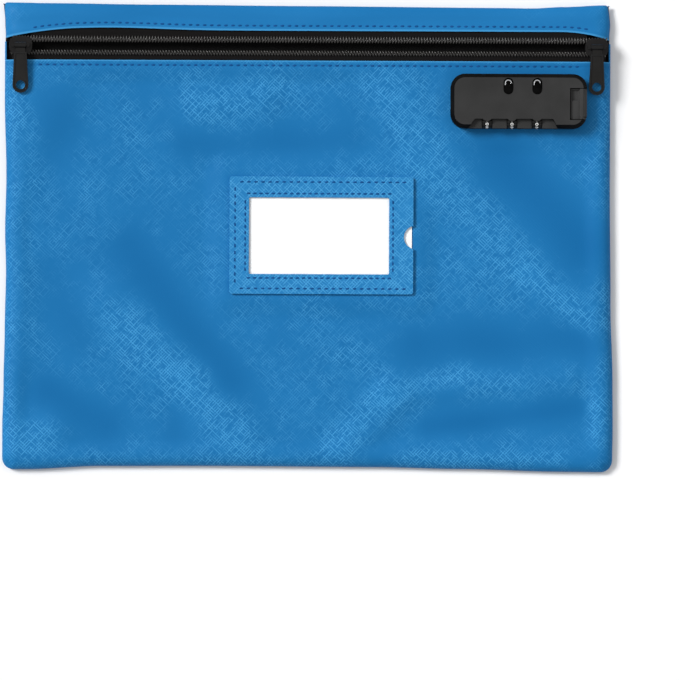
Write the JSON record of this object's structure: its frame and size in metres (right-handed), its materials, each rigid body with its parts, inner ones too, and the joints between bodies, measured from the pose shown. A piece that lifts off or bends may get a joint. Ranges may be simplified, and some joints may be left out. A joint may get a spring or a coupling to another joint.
{
  "type": "cash deposit bag",
  "caption": "Flat zipped deposit bag of grained leather, with a stitched card pocket on its front and a dial lock beside the zip.",
  "frame": {"origin": "middle of the face that the bag lies on, at the middle of its width and height", "axes": "+X along the width towards the lock, +Y up the bag towards the zip, +Z out of the front"},
  "size_m": [0.356, 0.274, 0.02],
  "materials": {
    "leather": "cross-hatch grain, satin",
    "thread": "twisted thread",
    "zip_tape": "woven tape",
    "zip_coil": "satin",
    "slider_metal": "gloss black lacquer",
    "lock_plastic": "fine satin texture",
    "dial_plastic": "satin with white digits",
    "clear_film": "clear film",
    "card": "matt",
    "steel": "bright",
    "brass": "turned"
  },
  "bodies": {
    "bag": {"back_panel": "leather", "front_panel": "leather", "top_band": "leather", "zip_tape_upper": "zip_tape", "zip_tape_lower": "zip_tape", "zip_end_left": "zip_tape", "zip_end_right": "zip_tape", "zip_coil_upper": "zip_coil", "zip_coil_lower": "zip_coil", "thread_band": "thread", "thread_panel": "thread", "pocket_frame": "leather", "clear_window": "clear_film", "thread_pocket": "thread", "thread_window": "thread", "lock_case": "lock_plastic", "lock_base": "lock_plastic", "lock_backing_plate": "lock_plastic", "lock_screws": "steel", "dial_shaft": "steel", "detent_spring": "steel", "latch_spring": "steel"},
    "left_slider": {"slider_left": "slider_metal"},
    "right_slider": {"slider_right": "slider_metal"},
    "left_pull": {"pull_left": "slider_metal"},
    "right_pull": {"pull_right": "slider_metal"},
    "card": {"name_card": "card"},
    "first_dial": {"dial_1": "dial_plastic", "dial_sleeve_1": "brass"},
    "second_dial": {"dial_2": "dial_plastic", "dial_sleeve_2": "brass"},
    "third_dial": {"dial_3": "dial_plastic", "dial_sleeve_3": "brass"},
    "latch": {"latch_bar": "steel", "release_button": "lock_plastic"}
  },
  "joints": [
    {"name": "left_slider_travel", "type": "slide", "parent": "bag", "child": "left_slider", "axis": [1, 0, 0], "range_m": [0, 0.245]},
    {"name": "right_slider_travel", "type": "slide", "parent": "bag", "child": "right_slider", "axis": [-1, 0, 0], "range_m": [0, 0.0009]},
    {"name": "left_pull_hinge", "type": "hinge", "parent": "left_slider", "child": "left_pull", "pos_m": [-0.1692, 0.1115, 0.0129], "axis": [-1, 0, 0], "range_deg": [0, 185]},
    {"name": "right_pull_hinge", "type": "hinge", "parent": "right_slider", "child": "right_pull", "pos_m": [0.1692, 0.1115, 0.0129], "axis": [-1, 0, 0], "range_deg": [0, 185]},
    {"name": "card_slide", "type": "slide", "parent": "bag", "child": "card", "axis": [1, 0, 0], "range_m": [0, 0.1]},
    {"name": "first_dial_turn", "type": "hinge", "parent": "bag", "child": "first_dial", "pos_m": [0.1047, 0.0673, 0.0145], "axis": [1, 0, 0], "continuous": true},
    {"name": "second_dial_turn", "type": "hinge", "parent": "bag", "child": "second_dial", "pos_m": [0.1193, 0.0673, 0.0145], "axis": [1, 0, 0], "continuous": true},
    {"name": "third_dial_turn", "type": "hinge", "parent": "bag", "child": "third_dial", "pos_m": [0.1339, 0.0673, 0.0145], "axis": [1, 0, 0], "continuous": true},
    {"name": "release_push", "type": "slide", "parent": "bag", "child": "latch", "axis": [-1, 0, 0], "range_m": [0, 0.0032], "stiffness_N_per_m": 400, "deforming": ["latch_spring"]}
  ]
}
